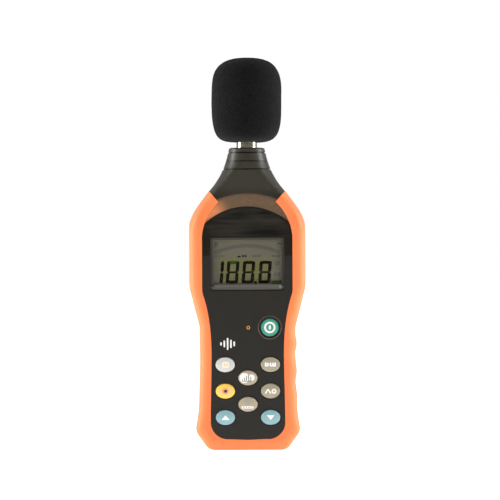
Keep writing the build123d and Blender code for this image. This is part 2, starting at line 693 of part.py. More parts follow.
def cross_screw(x, z, head_y, tip_y, head_r, shaft_r, head_height):
    """Pan-head screw along Y, its head outwards, with a cross recess."""
    out = 1 if head_y > tip_y else -1
    head = along_y(x, z, head_y, head_y + out * head_height, head_r)
    rim = head.edges().filter_by_position(
        Axis.Y, head_y + out * head_height - 0.01, head_y + out * head_height + 0.01)
    head = fillet(rim, 0.3 * head_height)
    screw = head + along_y(x, z, tip_y, head_y + out * 0.01, shaft_r)
    slot_y = head_y + out * head_height
    half = 0.55 * head_r
    low, high = sorted((slot_y - out * 0.5 * head_height, slot_y + out))
    screw -= block(x - half, x + half, low, high, z - 0.3, z + 0.3)
    screw -= block(x - 0.3, x + 0.3, low, high, z - half, z + half)
    return screw


def battery_door_screw():
    return cross_screw(0, DOOR_SCREW_Z, BACK_Y - 1.98, 11.5, 2.9, SCREW_R, 1.7)


def case_screws():
    """Four long screws from the back."""
    return [cross_screw(x, z, 14.02, -8.0, 2.9, SCREW_R, 2.0) for x, z in both_sides(CASE_SCREWS)]


def board_screws():
    """Six small screws that hold the board to the front case."""
    return [cross_screw(x, z, BOARD_SEAT_Y, INNER_FRONT_Y + 1.0, 2.2, 1.2, 1.5)
            for x, z in both_sides(BOARD_SCREWS)]


def door_insert():
    """Brass thread for the door screw."""
    return along_y(0, DOOR_SCREW_Z, 10.9, 17.2, 2.48) - along_y(
        0, DOOR_SCREW_Z, 10, 18, SCREW_R + SCREW_GAP)


def tripod_insert():
    """Brass 1/4-20 insert with a closed end."""
    deep_y = BACK_Y - 0.28 - TRIPOD_DEPTH
    body = along_y(0, TRIPOD_Z, deep_y, BACK_Y - 0.2, 4.72)
    return body - along_y(0, TRIPOD_Z, deep_y + 0.6, REAR, TRIPOD_R)


def output_socket():
    """3.5 mm socket on the edge of the board, reached through the left wall."""
    body = block(-36.5, -24.0, BOARD_SEAT_Y, JACK_Y + 3.0, JACK_Z - 3.5, JACK_Z + 3.5)
    nose = Pos(-39.7, JACK_Y, JACK_Z) * Rot(0, 90, 0) * Cylinder(SOCKET_NOSE_R - 0.2, 6.6)
    bore = Pos(-35.0, JACK_Y, JACK_Z) * Rot(0, 90, 0) * Cylinder(JACK_R, 18)
    return body + nose - bore


OUTER = envelope(0)
UNDER_GRIP = envelope(SKIN)
PANEL_SHAPE = envelope(PANEL_DROP)
CAVITY_SHAPE = envelope(CAVITY)
DARK = plate(dark_outline(), -60, 60)

nodes = {
    "front_case": front_case(),
    "rear_case": rear_case(),
    "front_grip": grip(front_half()),
    "rear_grip": grip(rear_half()),
    "lcd_window": lcd_window(),
    "lcd_glass": lcd_glass(),
    "lcd_frame": lcd_frame(),
    "backlight_panel": backlight_panel(),
    "zebra_strip": zebra_strip(),
    "power_button": power_button(),
    "power_ring": power_ring(),
    "keypad_mat": keypad_mat(),
    "carbon_pills": carbon_pills(),
    "indicator_led": indicator_led(),
    "main_board": main_board(),
    "processor": chip(0, 132, 12, 12, 1.7),
    "level_converter": chip(-18, 138, 7.5, 9, 2.0),
    "shield_can": shield_can(),
    "capacitors": capacitors(),
    "quartz_crystal": quartz_crystal(),
    "mic_header": mic_header(),
    "mic_sleeve": mic_sleeve(),
    "mic_preamp_board": mic_preamp_board(),
    "mic_insulator": mic_insulator(),
    "mic_backplate": mic_backplate(),
    "mic_diaphragm": mic_diaphragm(),
    "mic_grid": mic_grid(),
    "windscreen": windscreen(),
    "battery_cells": battery_cells(),
    "battery_springs": battery_springs(),
    "battery_contacts": battery_contacts(),
    "battery_door": battery_door(),
    "battery_door_screw": battery_door_screw(),
    "door_insert": door_insert(),
    "tripod_insert": tripod_insert(),
    "case_screws": case_screws(),
    "board_screws": board_screws(),
    "output_socket": output_socket(),
}
for name, (x, z) in KEYS.items():
    nodes[name] = key_cap(x, z)

os.makedirs("parts", exist_ok=True)
for name, shape in nodes.items():
    solids = shape if isinstance(shape, list) else [shape]
    export_step(Compound(children=[Compound(s.solids()) for s in solids]), f"parts/{name}.step")
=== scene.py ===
import math

import bmesh
import bpy
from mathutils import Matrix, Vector, noise


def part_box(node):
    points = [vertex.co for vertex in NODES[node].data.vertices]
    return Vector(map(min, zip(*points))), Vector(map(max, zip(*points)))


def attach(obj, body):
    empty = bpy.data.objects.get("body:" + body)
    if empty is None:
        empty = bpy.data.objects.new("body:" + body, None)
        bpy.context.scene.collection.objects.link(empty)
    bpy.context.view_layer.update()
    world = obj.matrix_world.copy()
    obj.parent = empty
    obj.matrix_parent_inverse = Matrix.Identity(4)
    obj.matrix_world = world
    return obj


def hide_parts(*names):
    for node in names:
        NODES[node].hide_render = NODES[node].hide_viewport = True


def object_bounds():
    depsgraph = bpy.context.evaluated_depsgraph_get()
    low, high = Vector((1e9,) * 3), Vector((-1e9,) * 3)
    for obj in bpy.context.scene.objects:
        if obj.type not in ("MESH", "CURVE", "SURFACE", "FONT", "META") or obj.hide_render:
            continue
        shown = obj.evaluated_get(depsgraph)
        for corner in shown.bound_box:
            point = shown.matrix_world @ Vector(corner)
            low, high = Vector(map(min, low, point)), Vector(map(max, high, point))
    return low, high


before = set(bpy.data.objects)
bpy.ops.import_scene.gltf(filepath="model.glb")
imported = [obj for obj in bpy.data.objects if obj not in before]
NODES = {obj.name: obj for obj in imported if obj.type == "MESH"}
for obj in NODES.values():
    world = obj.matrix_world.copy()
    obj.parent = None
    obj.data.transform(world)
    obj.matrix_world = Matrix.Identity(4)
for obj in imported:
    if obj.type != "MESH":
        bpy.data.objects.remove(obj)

FRAME_BOX = [list(corner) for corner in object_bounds()]

# Sound level meter. Metres; +Z up along the meter, the front faces -Y.
MM = 0.001
CASE = "case"


# ---- where things are, read from the frame ----
def centre(node):
    low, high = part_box(node)
    return (low + high) / 2


def half_width(node):
    low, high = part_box(node)
    return (high.x - low.x) / 2


PANEL_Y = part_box("front_case")[0].y
WINDOW_LOW, WINDOW_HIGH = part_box("lcd_window")
GLASS_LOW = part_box("lcd_glass")[0]
FOAM_LOW, FOAM_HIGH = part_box("windscreen")
MIDDLE = Vector((0, 0, FRAME_BOX[1][2] / 2))


# ---- materials ----
class Finish:
    """A Principled material whose colour, roughness and relief come from procedural patterns."""

    def __init__(self, name, colour, roughness, metallic=0.0, bevel=0.0):
        self.material = bpy.data.materials.new(name)
        self.material.use_nodes = True
        self.nodes = self.material.node_tree.nodes
        self.links = self.material.node_tree.links
        self.shader = self.nodes["Principled BSDF"]
        self.shader.inputs["Base Color"].default_value = (*colour, 1)
        self.shader.inputs["Roughness"].default_value = roughness
        self.shader.inputs["Metallic"].default_value = metallic
        self.colour = colour
        self.roughness = roughness
        self.place = self.nodes.new("ShaderNodeTexCoord").outputs["Object"]
        self.normal = None
        if bevel:
            rounded = self.nodes.new("ShaderNodeBevel")
            rounded.samples = 6
            rounded.inputs["Radius"].default_value = bevel
            self.normal = rounded.outputs["Normal"]
            self.links.new(self.normal, self.shader.inputs["Normal"])

    def set(self, **values):
        """Uniform values of the shader, by the name of their socket."""
        for name, value in values.items():
            self.shader.inputs[name.replace("_", " ")].default_value = value
        return self

    def noise(self, scale, detail=3.0, roughness=0.5, stretch=(1, 1, 1)):
        """Noise pattern, scale in cells per metre."""
        mapping = self.nodes.new("ShaderNodeMapping")
        mapping.inputs["Scale"].default_value = stretch
        self.links.new(self.place, mapping.inputs["Vector"])
        pattern = self.nodes.new("ShaderNodeTexNoise")
        pattern.inputs["Scale"].default_value = scale
        pattern.inputs["Detail"].default_value = detail
        pattern.inputs["Roughness"].default_value = roughness
        self.links.new(mapping.outputs["Vector"], pattern.inputs["Vector"])
        return pattern.outputs["Fac"]

    def cells(self, scale, feature="F1"):
        """Cell pattern, scale in cells per metre."""
        pattern = self.nodes.new("ShaderNodeTexVoronoi")
        pattern.feature = feature
        pattern.inputs["Scale"].default_value = scale
        self.links.new(self.place, pattern.inputs["Vector"])
        return pattern.outputs["Distance"]

    def ramp(self, value, low, high, dark, light):
        """Value between low and high turned into a colour between dark and light."""
        ramp = self.nodes.new("ShaderNodeValToRGB")
        ramp.color_ramp.elements[0].position = low
        ramp.color_ramp.elements[1].position = high
        ramp.color_ramp.elements[0].color = (*dark, 1)
        ramp.color_ramp.elements[1].color = (*light, 1)
        self.links.new(value, ramp.inputs["Fac"])
        return ramp.outputs["Color"]

    def stretch_range(self, value, start, end, first, last):
        """Node that turns a value between start and end into one between first and last."""
        node = self.nodes.new("ShaderNodeMapRange")
        node.inputs["From Min"].default_value = start
        node.inputs["From Max"].default_value = end
        node.inputs["To Min"].default_value = first
        node.inputs["To Max"].default_value = last
        self.links.new(value, node.inputs["Value"])
        return node

    def colour_by(self, socket):
        """Base colour comes from that socket."""
        self.links.new(socket, self.shader.inputs["Base Color"])
        return self

    def colour_now(self):
        """Socket that the base colour comes from so far."""
        return self.shader.inputs["Base Color"].links[0].from_socket

    def mottle(self, value, amount):
        """Colour varies by amount, a share of itself, with the pattern."""
        dark = [part * (1 - amount) for part in self.colour]
        light = [min(1.0, part * (1 + amount)) for part in self.colour]
        return self.colour_by(self.ramp(value, 0.3, 0.7, dark, light))

    def gloss(self, value, amount):
        """Roughness varies by amount with the pattern."""
        smooth, dull = max(0.0, self.roughness - amount), min(1.0, self.roughness + amount)
        varied = self.stretch_range(value, 0.3, 0.7, smooth, dull)
        self.links.new(varied.outputs["Result"], self.shader.inputs["Roughness"])
        return self

    def relief(self, value, depth):
        """Bump of that depth in metres."""
        bump = self.nodes.new("ShaderNodeBump")
        bump.inputs["Strength"].default_value = 1.0
        bump.inputs["Distance"].default_value = depth
        self.links.new(value, bump.inputs["Height"])
        if self.normal is not None:
            self.links.new(self.normal, bump.inputs["Normal"])
        self.normal = bump.outputs["Normal"]
        self.links.new(self.normal, self.shader.inputs["Normal"])
        return self

    def along(self, axis):
        """Place along X, Y or Z."""
        split = self.nodes.new("ShaderNodeSeparateXYZ")
        self.links.new(self.place, split.inputs["Vector"])
        return split.outputs[axis]

    def distance_from(self, x, z):
        """Distance from that point, seen from the front."""
        flat = self.nodes.new("ShaderNodeMapping")
        flat.inputs["Location"].default_value = (-x, 0, -z)
        flat.inputs["Scale"].default_value = (1, 0, 1)
        self.links.new(self.place, flat.inputs["Vector"])
        length = self.nodes.new("ShaderNodeVectorMath")
        length.operation = "LENGTH"
        self.links.new(flat.outputs["Vector"], length.inputs[0])
        return length.outputs["Value"]

    def rise(self, value, start, end):
        """Mask that goes from 0 at start to 1 at end."""
        node = self.stretch_range(value, start, end, 0.0, 1.0)
        node.interpolation_type = "SMOOTHSTEP"
        return node.outputs["Result"]

    def fall(self, value, start, end):
        """Mask that goes from 1 at start to 0 at end."""
        node = self.stretch_range(value, start, end, 1.0, 0.0)
        node.interpolation_type = "SMOOTHSTEP"
        return node.outputs["Result"]

    def overlap(self, first, second):
        """Mask where both masks are."""
        product = self.nodes.new("ShaderNodeMath")
        product.operation = "MULTIPLY"
        self.links.new(first, product.inputs[0])
        self.links.new(second, product.inputs[1])
        return product.outputs["Value"]

    def between(self, value, rising, falling):
        """Mask that rises over the first stretch of the value and falls over the second."""
        return self.overlap(self.rise(value, *rising), self.fall(value, *falling))

    def mix(self, mask, first, second):
        """First colour where the mask is 0, second where it is 1; each a colour or a socket."""
        blend = self.nodes.new("ShaderNodeMix")
        blend.data_type = "RGBA"
        colours = [socket for socket in blend.inputs if socket.type == "RGBA"]
        for socket, value in zip(colours, (first, second)):
            if isinstance(value, tuple):
                socket.default_value = (*value, 1)
            else:
                self.links.new(value, socket)
        self.links.new(mask, blend.inputs["Factor"])
        return next(socket for socket in blend.outputs if socket.type == "RGBA")


def moulded(name, colour, roughness, grain=0.02 * MM, bevel=0.3 * MM, shine=0.5):
    """Injection-moulded plastic: fine spark-eroded grain, faint flow marks."""
    finish = Finish(name, colour, roughness, bevel=bevel)
    finish.set(Specular_IOR_Level=shine)
    finish.mottle(finish.noise(60, 2), 0.06)
    finish.gloss(finish.noise(900, 4), 0.06)
    finish.relief(finish.noise(5200, 2), grain)
    return finish


CASE_COLOUR = (0.0105, 0.0090, 0.0055)
NECK_COLOUR = (0.036, 0.033, 0.023)
PALER_START, PALER_END = FOAM_LOW.z - 46 * MM, FOAM_LOW.z - 32 * MM     # up the neck
# painted shade: the grooves round the neck are coloured black
GROOVE_SHADE_COLOUR = (0.0, 0.0, 0.0)
GROOVE_HEIGHTS = (213.3 * MM, 219.4 * MM, 225.9 * MM)
GROOVE_HALF = 0.4 * MM
GROOVE_FADE = 0.1 * MM


def case_plastic(name):
    """Dark case plastic, paler on the neck, with painted shade: black lines in the grooves round it.
    """
    finish = moulded(name, CASE_COLOUR, 0.36, grain=0.008 * MM, bevel=0.2 * MM, shine=0.34)
    up = finish.along("Z")
    colour = finish.mix(finish.rise(up, PALER_START, PALER_END), finish.colour_now(), NECK_COLOUR)
    # black lines at the groove heights: painted shade
    for height in GROOVE_HEIGHTS:
        low, high = height - GROOVE_HALF, height + GROOVE_HALF
        line = finish.between(up, (low - GROOVE_FADE, low), (high, high + GROOVE_FADE))
        colour = finish.mix(line, colour, GROOVE_SHADE_COLOUR)
    return finish.colour_by(colour)


BROW_CENTRE_Z, BROW_INNER_R, BROW_OUTER_R = 138.5 * MM, 46.5 * MM, 57.5 * MM
# painted reflection: brownish stipple on the brow's glossy bevel, more orange at its left end
STIPPLE_REFLECTION_DARK, STIPPLE_REFLECTION_LIGHT = (0.030, 0.015, 0.004), (0.150, 0.075, 0.024)
ORANGE_REFLECTION_COLOUR = (0.56, 0.19, 0.062)
ORANGE_REFLECTION_ACROSS = (-26 * MM, -12 * MM)       # the painted orange reflection fades out to the right over this stretch
ORANGE_REFLECTION_UP = (181 * MM, 193 * MM)           # and upwards over this one
# painted shade under the brow, with soft bands of painted reflection
BAND_SHADE_DARK, BAND_REFLECTION_LIGHT = (0.003, 0.0028, 0.002), (0.026, 0.023, 0.017)


def front_plastic():
    """Case plastic with painted light: a brownish stipple on the brow's bevel as a painted
    reflection, turning orange at its left end, and painted shade with soft bands of painted
    reflection under the brow.
    """
    finish = case_plastic("case_front")
    across, up = finish.along("X"), finish.along("Z")
    reach = finish.distance_from(0, BROW_CENTRE_Z)
    window_top = WINDOW_HIGH.z
    ring = finish.between(reach, (BROW_INNER_R - 0.6 * MM, BROW_INNER_R + 0.4 * MM),
                          (BROW_OUTER_R - 4 * MM, BROW_OUTER_R + 0.5 * MM))
    bevel = finish.overlap(ring, finish.rise(up, window_top + 1 * MM, window_top + 6 * MM))
    # painted reflection on the brow's bevel, as a brownish stipple
    stipple_reflection = finish.ramp(finish.noise(1500, 5, 0.7), 0.36, 0.64, STIPPLE_REFLECTION_DARK, STIPPLE_REFLECTION_LIGHT)
    # painted reflection of the orange grip at the bevel's left end
    warm_reflection = finish.overlap(finish.fall(across, *ORANGE_REFLECTION_ACROSS), finish.fall(up, *ORANGE_REFLECTION_UP))
    # painted shade and bands of painted reflection in the hood under the brow
    under_brow = finish.fall(reach, BROW_INNER_R - 2 * MM, BROW_INNER_R - 1 * MM)
    hood_shading = finish.overlap(under_brow, finish.rise(up, window_top, window_top + 2 * MM))
    shade_and_reflection_bands = finish.ramp(finish.noise(260, 2, stretch=(0.12, 0.12, 1)), 0.35, 0.65,
                        BAND_SHADE_DARK, BAND_REFLECTION_LIGHT)
    brow_with_reflection = finish.mix(bevel, finish.colour_now(), finish.mix(warm_reflection, stipple_reflection, ORANGE_REFLECTION_COLOUR))
    return finish.colour_by(finish.mix(hood_shading, brow_with_reflection, shade_and_reflection_bands))


def ring_plastic():
    """Power ring: a black well round the button, darker than the case as painted shade in the gap,
    and a dim, warm painted highlight on the bevel outside it.
    """
    shaded_well, warm_reflection = (0.003, 0.003, 0.003), (0.075, 0.055, 0.038)
    finish = moulded("power_ring_plastic", shaded_well, 0.3, grain=0.004 * MM, shine=0.4)
    middle = centre("power_ring")
    outside = half_width("power_ring")
    reach = finish.distance_from(middle.x, middle.z)
    # painted highlight: the outer bevel is coloured dim and warm; inside it, near-black as painted
    # shade
    bevel = finish.rise(reach, outside - 1.0 * MM, outside - 0.6 * MM)
    return finish.colour_by(finish.mix(bevel, shaded_well, warm_reflection))


def grip_rubber():
    """Orange thermoplastic rubber with a matt, slightly dusty skin."""
    finish = Finish("grip_rubber", (0.95, 0.212, 0.064), 0.5, bevel=0.5 * MM)
    finish.set(Specular_IOR_Level=0.35, Sheen_Weight=0.12, Sheen_Roughness=0.4)
    finish.mottle(finish.noise(45, 4), 0.035)
    finish.gloss(finish.noise(400, 4), 0.07)
    finish.relief(finish.noise(3600, 3), 0.03 * MM)
    return finish


def foam_black():
    """Open-cell polyurethane foam: pits between fine struts."""
    strut, pit = (0.014, 0.0145, 0.014), (0.005, 0.005, 0.005)
    finish = Finish("foam_black", strut, 0.95)
    finish.set(Specular_IOR_Level=0.0, Sheen_Weight=0.06, Sheen_Roughness=0.5)
    pits = finish.cells(1500)
    finish.colour_by(finish.ramp(pits, 0.1, 0.7, strut, pit))
    finish.relief(pits, 0.35 * MM)
    finish.relief(finish.cells(620, "SMOOTH_F1"), 0.25 * MM)
    return finish


def polished_metal():
    """Turned and polished sleeve: faint rings round the axis."""
    finish = Finish("polished_metal", (0.60, 0.565, 0.44), 0.13, metallic=1.0, bevel=0.15 * MM)
    finish.gloss(finish.noise(900, 3, stretch=(0.05, 0.05, 6)), 0.06)
    finish.relief(finish.noise(1600, 2, stretch=(0.02, 0.02, 5)), 0.004 * MM)
    return finish


def plated_metal(name, colour, roughness):
    """Plated or bare small part, faintly blotched."""
    finish = Finish(name, colour, roughness, metallic=1.0, bevel=0.1 * MM)
    finish.mottle(finish.noise(700, 4), 0.12)
    finish.gloss(finish.noise(1800, 4), 0.12)
    finish.relief(finish.noise(4000, 3), 0.01 * MM)
    return finish


def clear_plate():
    """Clear acrylic window with a faint orange-peel surface."""
    finish = Finish("clear_plate", (0.015, 0.015, 0.014), 0.06)
    finish.set(Alpha=0.06, IOR=1.45)
    finish.gloss(finish.noise(300, 2), 0.03)
    finish.relief(finish.noise(180, 2), 0.001 * MM)
    return finish


DISPLAY_GREY, DISPLAY_OLIVE = (0.150, 0.140, 0.099), (0.158, 0.154, 0.052)
OLIVE_LEFT, OLIVE_RIGHT = (-23 * MM, -20 * MM), (16 * MM, 19 * MM)      # soft edges of the field
OLIVE_FOOT = (GLASS_LOW.z + 1.4 * MM, GLASS_LOW.z + 3.2 * MM)
OLIVE_TOP = (GLASS_LOW.z + 20.5 * MM, GLASS_LOW.z + 23.5 * MM)


def display_back():
    """Reflective display: grey, with an olive field behind the digits."""
    finish = Finish("display_back", DISPLAY_GREY, 0.42)
    finish.set(Specular_IOR_Level=0.3)
    field = finish.overlap(finish.between(finish.along("X"), OLIVE_LEFT, OLIVE_RIGHT),
                           finish.between(finish.along("Z"), OLIVE_FOOT, OLIVE_TOP))
    finish.colour_by(finish.ramp(field, 0.0, 1.0, DISPLAY_GREY, DISPLAY_OLIVE))
    finish.relief(finish.noise(2500, 2), 0.003 * MM)
    return finish


def printed(name, colour, roughness=0.45):
    """Screen-printed ink; the window's painted light uses it too."""
    finish = Finish(name, colour, roughness)
    finish.mottle(finish.noise(2500, 3), 0.08)
    finish.gloss(finish.noise(3000, 3), 0.08)
    return finish


def circuit_board():
    """Green solder resist over raised copper."""
    bare, copper = (0.012, 0.10, 0.035), (0.03, 0.19, 0.07)
    finish = Finish("circuit_board", bare, 0.35)
    tracks = finish.noise(420, 1, stretch=(1, 1, 0.25))
    finish.colour_by(finish.ramp(tracks, 0.47, 0.53, bare, copper))
    finish.relief(tracks, 0.03 * MM)
    return finish


def cell_jacket():
    """Battery: a foil-printed sleeve in two colours, split along its length."""
    dark, gold = (0.03, 0.035, 0.045), (0.65, 0.42, 0.13)
    finish = Finish("cell_jacket", dark, 0.28, bevel=0.2 * MM)
    low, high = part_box("battery_cells")
    level = finish.stretch_range(finish.along("Z"), low.z, high.z, 0.0, 1.0)
    finish.colour_by(finish.ramp(level.outputs["Result"], 0.70, 0.71, dark, gold))
    finish.gloss(finish.noise(900, 3), 0.06)
    return finish


# ---- objects and surfaces ----
def new_object(name, data):
    """Object with that data, put in the scene."""
    made = bpy.data.objects.new(name, data)
    bpy.context.scene.collection.objects.link(made)
    return made


def mesh_piece(name, vertices, faces, finish, body):
    """Smooth-shaded piece that rides on a body."""
    mesh = bpy.data.meshes.new(name)
    mesh.from_pydata(vertices, [], faces)
    mesh.validate()
    work = bmesh.new()
    work.from_mesh(mesh)
    bmesh.ops.recalc_face_normals(work, faces=work.faces)
    work.to_mesh(mesh)
    work.free()
    for face in mesh.polygons:
        face.use_smooth = True
    mesh.materials.append(finish.material)
    piece = new_object(name, mesh)
    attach(piece, body)
    return piece


def turns(count):
    """Evenly spaced angles all round."""
    return [math.tau * step / count for step in range(count)]


def ring_surface(rings, loop=False):
    """Vertices and faces of a closed surface through equal rings, capped unless it is a loop."""
    count = len(rings[0])
    vertices = [point for ring in rings for point in ring]
    faces = []
    for row in range(len(rings) if loop else len(rings) - 1):
        here = row * count
        there = (row + 1) % len(rings) * count
        for column in range(count):
            following = (column + 1) % count
            faces.append((here + column, here + following, there + following, there + column))
    if not loop:
        last = (len(rings) - 1) * count
        faces.append(tuple(range(count)))
        faces.append(tuple(last + column for column in reversed(range(count))))
    return vertices, faces


# ---- foam windscreen ----
FOAM_WIDEST = 0.575                      # share of the height where the foam is widest
FOOT_POWER, DOME_POWER = 4.6, 2.9        # how square the outline is below and above that
FOAM_RINGS, FOAM_SIDES = 230, 340
FOAM_INSET = 0.25 * MM                   # room for the relief inside the outline
SWELL = 0.35 * MM
PORE_SIZE = 1.1 * MM
GRIT, GRIT_LIMIT = 0.14 * MM, 0.1 * MM
BORE_GAP = 0.15 * MM
BORE_LEVELS = (26 * MM, 18 * MM, 10 * MM, 4 * MM, 1.2 * MM, 0.35 * MM)


def square_round(share, power):
    """From 1 at share 0 to 0 at share 1, as a circle's quarter with squarer shoulders."""
    return (1 - share ** power) ** (1 / power)


def foam_radius(share, widest):
    """Radius at a share of the height: a flat-bottomed barrel below, a dome above."""
    if share < FOAM_WIDEST:
        return widest * square_round(1 - share / FOAM_WIDEST, FOOT_POWER)
    return widest * square_round((share - FOAM_WIDEST) / (1 - FOAM_WIDEST), DOME_POWER)


def foam_relief(point):
    """How far the surface stands out there: slow swells, pores and grit."""
    swell = noise.noise(point * 55) * SWELL
    pores = noise.cell_vector(point / PORE_SIZE).x
    grit = (noise.noise(point * 1400) - 0.2 - 0.3 * pores) * GRIT
    return swell + min(grit, GRIT_LIMIT) - FOAM_INSET


def foam_rings(widest):
    """Rings of the outer surface, from the middle of the foot to the top."""
    height = FOAM_HIGH.z - FOAM_LOW.z
    rings = []
    for row in range(FOAM_RINGS + 1):
        turn = math.pi * row / FOAM_RINGS
        share = (1 - math.cos(turn)) / 2
        radius = foam_radius(share, widest)
        sideways = math.sin(turn) ** 0.5
        ring = []
        for angle in turns(FOAM_SIDES):
            x, y = math.cos(angle), math.sin(angle)
            point = Vector((x * radius, y * radius, FOAM_LOW.z + share * height))
            outward = Vector((x * sideways, y * sideways, -math.cos(turn)))
            ring.append(point + outward * foam_relief(point))
        rings.append(ring)
    return rings


def windscreen():
    """Foam ball with a bore for the microphone's sleeve."""
    bore = half_width("mic_sleeve") + BORE_GAP
    outer = foam_rings(half_width("windscreen") - FOAM_INSET)
    start = next(row for row, ring in enumerate(outer) if ring[0].x > bore)
    inner = [[Vector((math.cos(angle) * bore, math.sin(angle) * bore, FOAM_LOW.z + level))
              for angle in turns(FOAM_SIDES)] for level in BORE_LEVELS]
    piece = mesh_piece("windscreen_foam", *ring_surface(inner + outer[start:-1]), foam_black(),
                       "windscreen_body")
    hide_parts("windscreen")


# ---- flat shapes, as closed (X, Z) outlines ----
OVAL_SIDES = 40


def oval(x, z, across, up):
    return [(x + across * math.cos(angle), z + up * math.sin(angle)) for angle in turns(OVAL_SIDES)]


def bar(x, z, width, height, corner, slant=0.0):
    """Upright bar with cut corners, leaning by slant."""
    half_w, half_h = width / 2, height / 2
    cut = min(corner, half_w, half_h)
    points = [(-half_w + cut, -half_h), (half_w - cut, -half_h), (half_w, -half_h + cut),
              (half_w, half_h - cut), (half_w - cut, half_h), (-half_w + cut, half_h),
              (-half_w, half_h - cut), (-half_w, -half_h + cut)]
    return [(x + px + slant * pz, z + pz) for px, pz in points]


def band(x, z, inner, outer, start=0.0, end=360.0, sides=48):
    """Flat ring or arc about a point, as four-cornered outlines between two angles in degrees."""
    pieces = []
    for side in range(sides):
        first = math.radians(start + (end - start) * side / sides)
        second = math.radians(start + (end - start) * (side + 1) / sides)
        pieces.append([(x + radius * math.cos(angle), z + radius * math.sin(angle))
                       for radius, angle in ((inner, first), (outer, first),
                                             (outer, second), (inner, second))])
    return pieces


def rounded_oblong(low, high, radius):
    """Round-cornered oblong between its lower left and upper right corners."""
    corners = ((high[0] - radius, high[1] - radius), (low[0] + radius, high[1] - radius),
               (low[0] + radius, low[1] + radius), (high[0] - radius, low[1] + radius))
    points = []
    for quarter, (x, z) in enumerate(corners):
        for step in range(7):
            angle = math.radians(90 * quarter + 15 * step)
            points.append((x + radius * math.cos(angle), z + radius * math.sin(angle)))
    return points


def frame_band(low, high, inner_round, edge, outer_round):
    """Flat frame of width edge round an oblong, as four-cornered outlines."""
    inner = rounded_oblong(low, high, inner_round)
    outer = rounded_oblong((low[0] - edge, low[1] - edge), (high[0] + edge, high[1] + edge),
                           outer_round)
    count = len(inner)
    return [[inner[step], outer[step], outer[(step + 1) % count], inner[(step + 1) % count]]
            for step in range(count)]


# ---- ink films ----
FILM = 0.02 * MM
SPLIT_ROUNDS = 5


def print_sheet(name, outlines, place, finish, body, fine):
    """Film over convex outlines, split until no edge is longer than fine, then put in place."""
    film = bmesh.new()
    for outline in outlines:
        corners = [film.verts.new((x, 0, z)) for x, z in outline]
        hub = film.verts.new((sum(x for x, _ in outline) / len(outline), 0,
                              sum(z for _, z in outline) / len(outline)))
        for index, corner in enumerate(corners):
            film.faces.new((corner, corners[(index + 1) % len(corners)], hub))
    for _ in range(SPLIT_ROUNDS):
        long_edges = [edge for edge in film.edges if edge.calc_length() > fine]
        if not long_edges:
            break
        bmesh.ops.subdivide_edges(film, edges=long_edges, cuts=1)
        bmesh.ops.triangulate(film, faces=film.faces[:])
    for corner in film.verts:
        corner.co = place(corner.co.x, corner.co.z)
    bmesh.ops.recalc_face_normals(film, faces=film.faces)
    mesh = bpy.data.meshes.new(name)
    film.to_mesh(mesh)
    film.free()
    mesh.materials.append(finish.material)
    piece = new_object(name, mesh)
    skin = piece.modifiers.new("thickness", "SOLIDIFY")
    skin.thickness = FILM
    skin.offset = 0.0
    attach(piece, body)


def flat_print(name, outlines, y, finish):
    """Film on an upright plane of the case at that Y."""
    print_sheet(name, outlines, lambda x, z: (x, y, z), finish, CASE, fine=20 * MM)


# ---- keys ----
FLANGE = 1.25 * MM                       # rim of each key behind the panel
KEY_ROUND = 1.0 * MM
KEY_CROWN = 0.55 * MM
KEY_SIDES = 96
TOP_STEPS, EDGE_STEPS = 15, 8
FIRST_INK, SECOND_INK, THIRD_INK = 0.03 * MM, 0.05 * MM, 0.07 * MM      # above the cap's top


class Dome:
    """Cap of a key or button: an oval with a crowned top and a rounded edge."""

    def __init__(self, node, rim, edge, crown):
        low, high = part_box(node)
        middle = centre(node)
        self.node = node
        self.body = node + "_body"
        self.x, self.z = middle.x, middle.z
        self.across = (high.x - low.x) / 2 - rim
        self.up = (high.z - low.z) / 2 - rim
        self.front, self.back = low.y, high.y
        self.edge, self.crown = edge, crown

    def top_y(self, x, z):
        """Y of the crowned top at an offset from the middle."""
        share = (x / (self.across - self.edge)) ** 2 + (z / (self.up - self.edge)) ** 2
        return self.front + self.crown * share

    def rings(self):
        """Rings from near the top's middle, over the edge, to the back."""
        inner_across, inner_up = self.across - self.edge, self.up - self.edge
        ovals = []
        for step in range(1, TOP_STEPS):
            share = step / TOP_STEPS
            ovals.append((inner_across * share, inner_up * share,
                          self.front + self.crown * share ** 2))
        for step in range(EDGE_STEPS + 1):
            turn = math.radians(90 * step / EDGE_STEPS)
            out = self.edge * math.sin(turn)
            ovals.append((inner_across + out, inner_up + out,
                          self.front + self.crown + self.edge * (1 - math.cos(turn))))
        ovals.append((self.across, self.up, self.back))
        return [[Vector((self.x + across * math.cos(angle), y, self.z + up * math.sin(angle)))
                 for angle in turns(KEY_SIDES)] for across, up, y in ovals]

    def piece(self, finish):
        """The cap itself, in place of the node."""
        piece = mesh_piece(self.node + "_cap", *ring_surface(self.rings()), finish, self.body)
        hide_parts(self.node)

    def print_shape(self, name, outlines, finish, proud=FIRST_INK):
        """Ink on the top, from outlines about its middle."""
        def place(x, z):
            return self.x + x, self.top_y(x, z) - proud, self.z + z
        print_sheet(self.node + "_" + name, outlines, place, finish, self.body, fine=0.8 * MM)


def key(node, finish):
    """Oval key, ready for its print."""
    dome = Dome(node, FLANGE, KEY_ROUND, KEY_CROWN)
    dome.piece(finish)
    return dome


def key_inks():
    """Inks of the keys' symbols, by colour."""
    colours = {
        "white": (0.84, 0.83, 0.80),
        "grey": (0.34, 0.33, 0.31),
        "orange": (0.86, 0.36, 0.015),
        "blue": (0.005, 0.012, 0.12),
        "cream": (0.86, 0.78, 0.60),
        "pink": (0.80, 0.52, 0.42),
        "peach": (0.95, 0.55, 0.30),
        "dark": (0.09, 0.085, 0.075),
    }
    return {name: printed(name + "_ink", colour) for name, colour in colours.items()}


